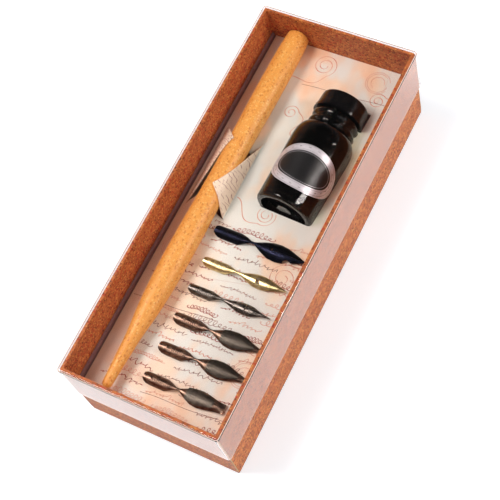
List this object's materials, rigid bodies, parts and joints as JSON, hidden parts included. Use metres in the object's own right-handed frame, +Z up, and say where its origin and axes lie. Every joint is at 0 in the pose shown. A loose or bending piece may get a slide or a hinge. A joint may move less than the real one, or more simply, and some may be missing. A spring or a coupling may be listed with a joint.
{
  "type": "calligraphy set box",
  "caption": "Long paper-covered tray with a clear lift-off lid, a raised printed card, a pen holder under two card tongues, a capped ink bottle and a row of nibs.",
  "frame": {"origin": "centre of the tray's underside", "axes": "+X across the short side, +Y along the long side from the front end to the back end, +Z up"},
  "size_m": [0.0704, 0.178, 0.0445],
  "materials": {
    "grey_board": "matt grey pulp board",
    "kraft_tape": "matt paper tape",
    "brown_paper": "satin printed paper",
    "white_card": "matt card",
    "printed_paper": "satin printed paper",
    "clear_sheet": "clear gloss",
    "pen_wood": "oiled turned wood",
    "dark_metal": "dark lacquered metal",
    "spring_metal": "spring steel",
    "clear_glass": "clear gloss",
    "black_ink": "liquid black",
    "label_paper": "silver and black coated paper",
    "black_cap": "gloss black",
    "liner_foam": "soft white",
    "blued_steel": "blue-black polished",
    "gilt_steel": "polished gilt",
    "dark_steel": "dark polished",
    "bronze_steel": "bronze lacquer",
    "grey_plate": "matt grey"
  },
  "bodies": {
    "tray": {"tray_board": "grey_board", "side_strip": "grey_board", "corner_stays": "kraft_tape", "wrap_paper": "brown_paper", "base_paper": "brown_paper", "platform_card": "white_card", "printed_sheet": "printed_paper", "tongue_left": "printed_paper", "tongue_right": "printed_paper"},
    "lid": {"lid": "clear_sheet"},
    "pen": {"pen_shaft": "pen_wood", "pen_socket": "dark_metal", "pen_clip": "spring_metal"},
    "bottle": {"bottle_glass": "clear_glass", "ink": "black_ink", "bottle_label": "label_paper"},
    "cap_carrier": {"cap_liner": "liner_foam"},
    "cap": {"cap_shell": "black_cap"},
    "nib_1": {"nib_1": "blued_steel"},
    "nib_2": {"nib_2": "gilt_steel"},
    "nib_3": {"nib_3": "dark_steel"},
    "nib_4": {"nib_4": "bronze_steel", "reservoir_4": "grey_plate"},
    "nib_5": {"nib_5": "bronze_steel", "reservoir_5": "grey_plate"},
    "nib_6": {"nib_6": "bronze_steel", "reservoir_6": "grey_plate"}
  },
  "joints": [
    {"name": "lid_lift", "type": "slide", "parent": "tray", "child": "lid", "axis": [0, 0, 1], "range_m": [0, 0.12]},
    {"name": "bottle_lift", "type": "slide", "parent": "tray", "child": "bottle", "axis": [0, 0, 1], "range_m": [0, 0.066]},
    {"name": "pen_lift", "type": "slide", "parent": "tray", "child": "pen", "axis": [0, 0, 1], "range_m": [0, 0.0504], "deforming": ["tongue_left", "tongue_right"]},
    {"name": "nib_1_lift", "type": "slide", "parent": "tray", "child": "nib_1", "axis": [0, 0, 1], "range_m": [0, 0.0336]},
    {"name": "nib_2_lift", "type": "slide", "parent": "tray", "child": "nib_2", "axis": [0, 0, 1], "range_m": [0, 0.0336]},
    {"name": "nib_3_lift", "type": "slide", "parent": "tray", "child": "nib_3", "axis": [0, 0, 1], "range_m": [0, 0.0336]},
    {"name": "nib_4_lift", "type": "slide", "parent": "tray", "child": "nib_4", "axis": [0, 0, 1], "range_m": [0, 0.0336]},
    {"name": "nib_5_lift", "type": "slide", "parent": "tray", "child": "nib_5", "axis": [0, 0, 1], "range_m": [0, 0.0336]},
    {"name": "nib_6_lift", "type": "slide", "parent": "tray", "child": "nib_6", "axis": [0, 0, 1], "range_m": [0, 0.0336]},
    {"name": "cap_draw", "type": "slide", "parent": "bottle", "child": "cap_carrier", "axis": [0.0436, 0.999, 0], "range_m": [0, 0.0045]},
    {"name": "cap_turn", "type": "hinge", "parent": "cap_carrier", "child": "cap", "pos_m": [0.0119, 0.036, 0.03], "axis": [0.0436, 0.999, 0], "range_deg": [0, 540]}
  ],
  "couplings": [
    {"joint": "bottle_lift", "follows": "lid_lift", "ratio": 0.55},
    {"joint": "pen_lift", "follows": "lid_lift", "ratio": 0.42},
    {"joint": "nib_1_lift", "follows": "lid_lift", "ratio": 0.28},
    {"joint": "nib_2_lift", "follows": "lid_lift", "ratio": 0.28},
    {"joint": "nib_3_lift", "follows": "lid_lift", "ratio": 0.28},
    {"joint": "nib_4_lift", "follows": "lid_lift", "ratio": 0.28},
    {"joint": "nib_5_lift", "follows": "lid_lift", "ratio": 0.28},
    {"joint": "nib_6_lift", "follows": "lid_lift", "ratio": 0.28},
    {"joint": "cap_draw", "follows": "lid_lift", "ratio": 0.0375},
    {"joint": "cap_turn", "follows": "lid_lift", "rad_per_m": 78.54}
  ]
}
